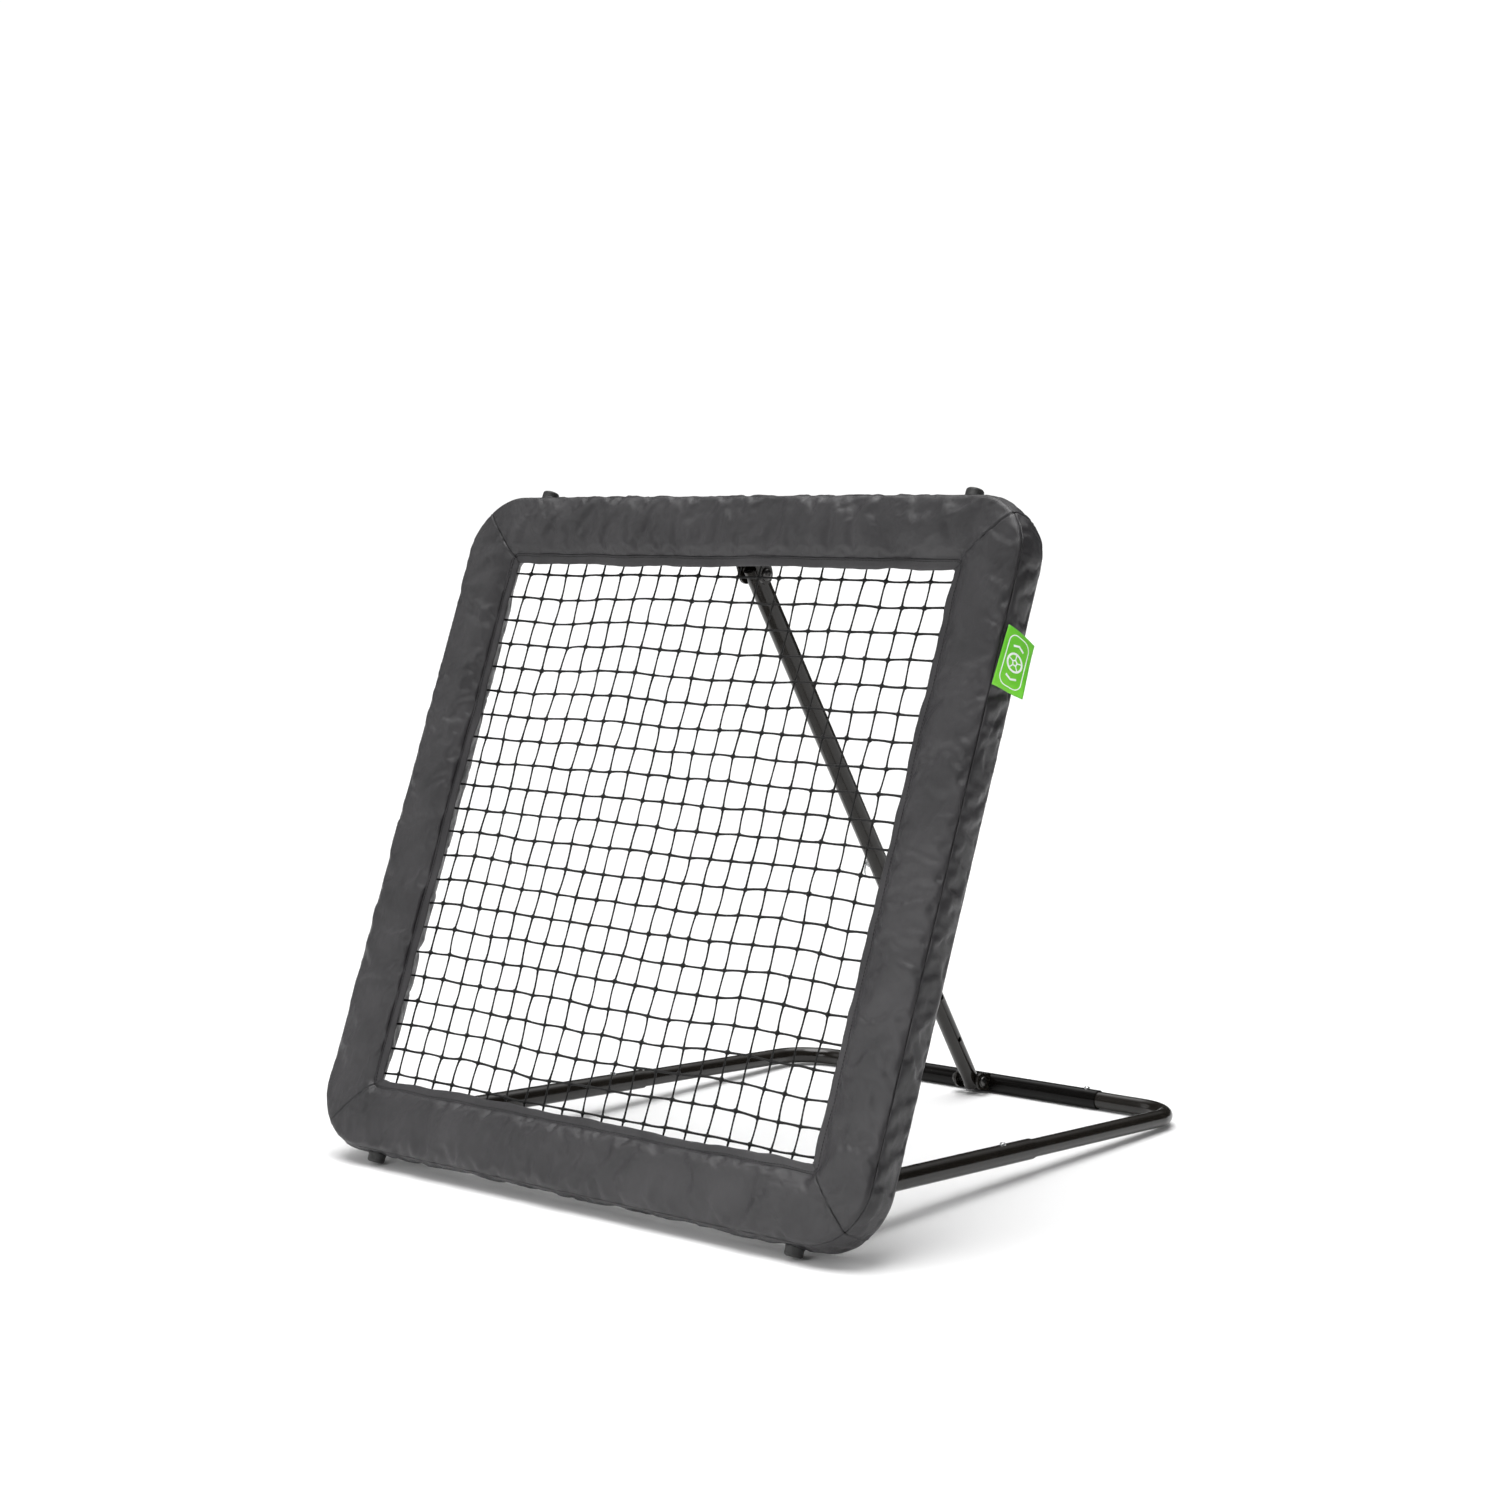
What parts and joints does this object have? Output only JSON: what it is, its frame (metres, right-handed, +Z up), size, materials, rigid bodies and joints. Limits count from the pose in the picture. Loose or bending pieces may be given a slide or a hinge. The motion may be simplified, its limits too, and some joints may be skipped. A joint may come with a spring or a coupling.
{
  "type": "pitch back rebounder",
  "caption": "Square padded net panel that leans back on a hinged tubular base and a telescopic rear strut, so that a ball bounces back.",
  "frame": {"origin": "on the ground, below the middle of the object's box", "axes": "+Z up, +Y from the net's front face towards the rear tube, +X to the right as seen from the front"},
  "size_m": [0.8419, 0.8472, 0.8081],
  "materials": {
    "painted_tube": "glossy black powder coat",
    "zinc": "bright zinc plate",
    "end_cap": "moulded",
    "foot_rubber": "moulded, slightly dull",
    "foam": "closed-cell foam",
    "cover_fabric": "satin coated nylon",
    "label": "woven satin",
    "net_twine": "twisted knotted twine",
    "cord": "braided cord"
  },
  "bodies": {
    "base_arms": {"arm_left": "painted_tube", "arm_right": "painted_tube", "arm_cap_left": "end_cap", "arm_cap_right": "end_cap"},
    "rear_base": {"rear_elbow_left": "painted_tube", "rear_elbow_right": "painted_tube", "rear_cross_tube": "painted_tube", "strut_bracket_rear": "painted_tube", "strut_bolt_rear": "zinc", "strut_nut_rear": "zinc"},
    "arm_button_left": {"arm_button_left": "zinc"},
    "arm_button_right": {"arm_button_right": "zinc"},
    "rear_button_left": {"rear_button_left": "zinc"},
    "rear_button_right": {"rear_button_right": "zinc"},
    "hinge_pins": {"hinge_left_bolt": "zinc", "hinge_left_nut": "zinc", "hinge_right_bolt": "zinc", "hinge_right_nut": "zinc"},
    "panel": {"frame_tube_bottom": "painted_tube", "frame_tube_top": "painted_tube", "frame_spigot_left": "painted_tube", "frame_spigot_right": "painted_tube", "hinge_bracket_left": "painted_tube", "hinge_bracket_right": "painted_tube", "strut_bracket_top": "painted_tube", "foot_bottom_left": "foot_rubber", "foot_bottom_right": "foot_rubber", "foot_top_left": "foot_rubber", "foot_top_right": "foot_rubber", "foam_bottom": "foam", "foam_left": "foam", "foam_top": "foam", "foam_right": "foam", "cover_bottom": "cover_fabric", "cover_left": "cover_fabric", "cover_top": "cover_fabric", "cover_right": "cover_fabric", "label_tab": "label", "net": "net_twine", "net_rope": "cord", "lacing_bottom": "cord", "lacing_left": "cord", "lacing_top": "cord", "lacing_right": "cord"},
    "strut_pin": {"strut_top_bolt": "zinc", "strut_top_nut": "zinc"},
    "strut_upper": {"strut_upper": "painted_tube"},
    "strut_lower": {"strut_lower": "painted_tube", "strut_end_cap": "end_cap"},
    "lock_pin": {"lock_pin": "zinc"},
    "lock_ring": {"lock_ring": "zinc"}
  },
  "joints": [
    {"name": "base_slide", "type": "slide", "parent": "base_arms", "child": "rear_base", "axis": [0, -0.9986, 0.0535], "range_m": [0, 0.172], "deforming": ["arm_button_left", "arm_button_right"]},
    {"name": "panel_lean", "type": "hinge", "parent": "base_arms", "child": "hinge_pins", "pos_m": [0, -0.33795, 0.05273], "axis": [1, 0, 0], "range_deg": [0, 11.25]},
    {"name": "panel_fold", "type": "hinge", "parent": "hinge_pins", "child": "panel", "pos_m": [0, -0.33795, 0.05273], "axis": [-1, 0, 0], "range_deg": [0, 66]},
    {"name": "strut_turn", "type": "hinge", "parent": "panel", "child": "strut_pin", "pos_m": [0, -0.07726, 0.70781], "axis": [-1, 0, 0], "range_deg": [0, 14.92]},
    {"name": "strut_fold", "type": "hinge", "parent": "strut_pin", "child": "strut_upper", "pos_m": [0, -0.07726, 0.70781], "axis": [-1, 0, 0], "range_deg": [0, 40.45]},
    {"name": "strut_slide", "type": "slide", "parent": "strut_upper", "child": "strut_lower", "axis": [0, -0.5545, 0.8322], "range_m": [0, 0.304]},
    {"name": "lock_pin_pull", "type": "slide", "parent": "strut_upper", "child": "lock_pin", "axis": [-1, 0, 0], "range_m": [0, 0.03]},
    {"name": "lock_ring_swing", "type": "hinge", "parent": "lock_pin", "child": "lock_ring", "pos_m": [-0.019, 0.17059, 0.33582], "axis": [0, 0.8322, 0.5545], "range_deg": [0, 80]},
    {"name": "arm_button_left_press", "type": "slide", "parent": "rear_base", "child": "arm_button_left", "axis": [0, -0.0535, -0.9986], "range_m": [0, 0.004], "stiffness_N_per_m": 600},
    {"name": "arm_button_right_press", "type": "slide", "parent": "rear_base", "child": "arm_button_right", "axis": [0, -0.0535, -0.9986], "range_m": [0, 0.004], "stiffness_N_per_m": 600},
    {"name": "rear_button_left_press", "type": "slide", "parent": "rear_base", "child": "rear_button_left", "axis": [0, -0.0535, -0.9986], "range_m": [0, 0.004], "stiffness_N_per_m": 600},
    {"name": "rear_button_right_press", "type": "slide", "parent": "rear_base", "child": "rear_button_right", "axis": [0, -0.0535, -0.9986], "range_m": [0, 0.004], "stiffness_N_per_m": 600}
  ],
  "couplings": [
    {"joint": "panel_lean", "follows": "base_slide", "rad_per_m": 1.0909},
    {"joint": "strut_turn", "follows": "base_slide", "rad_per_m": 1.4634},
    {"joint": "strut_fold", "follows": "panel_fold", "ratio": 0.60535}
  ]
}
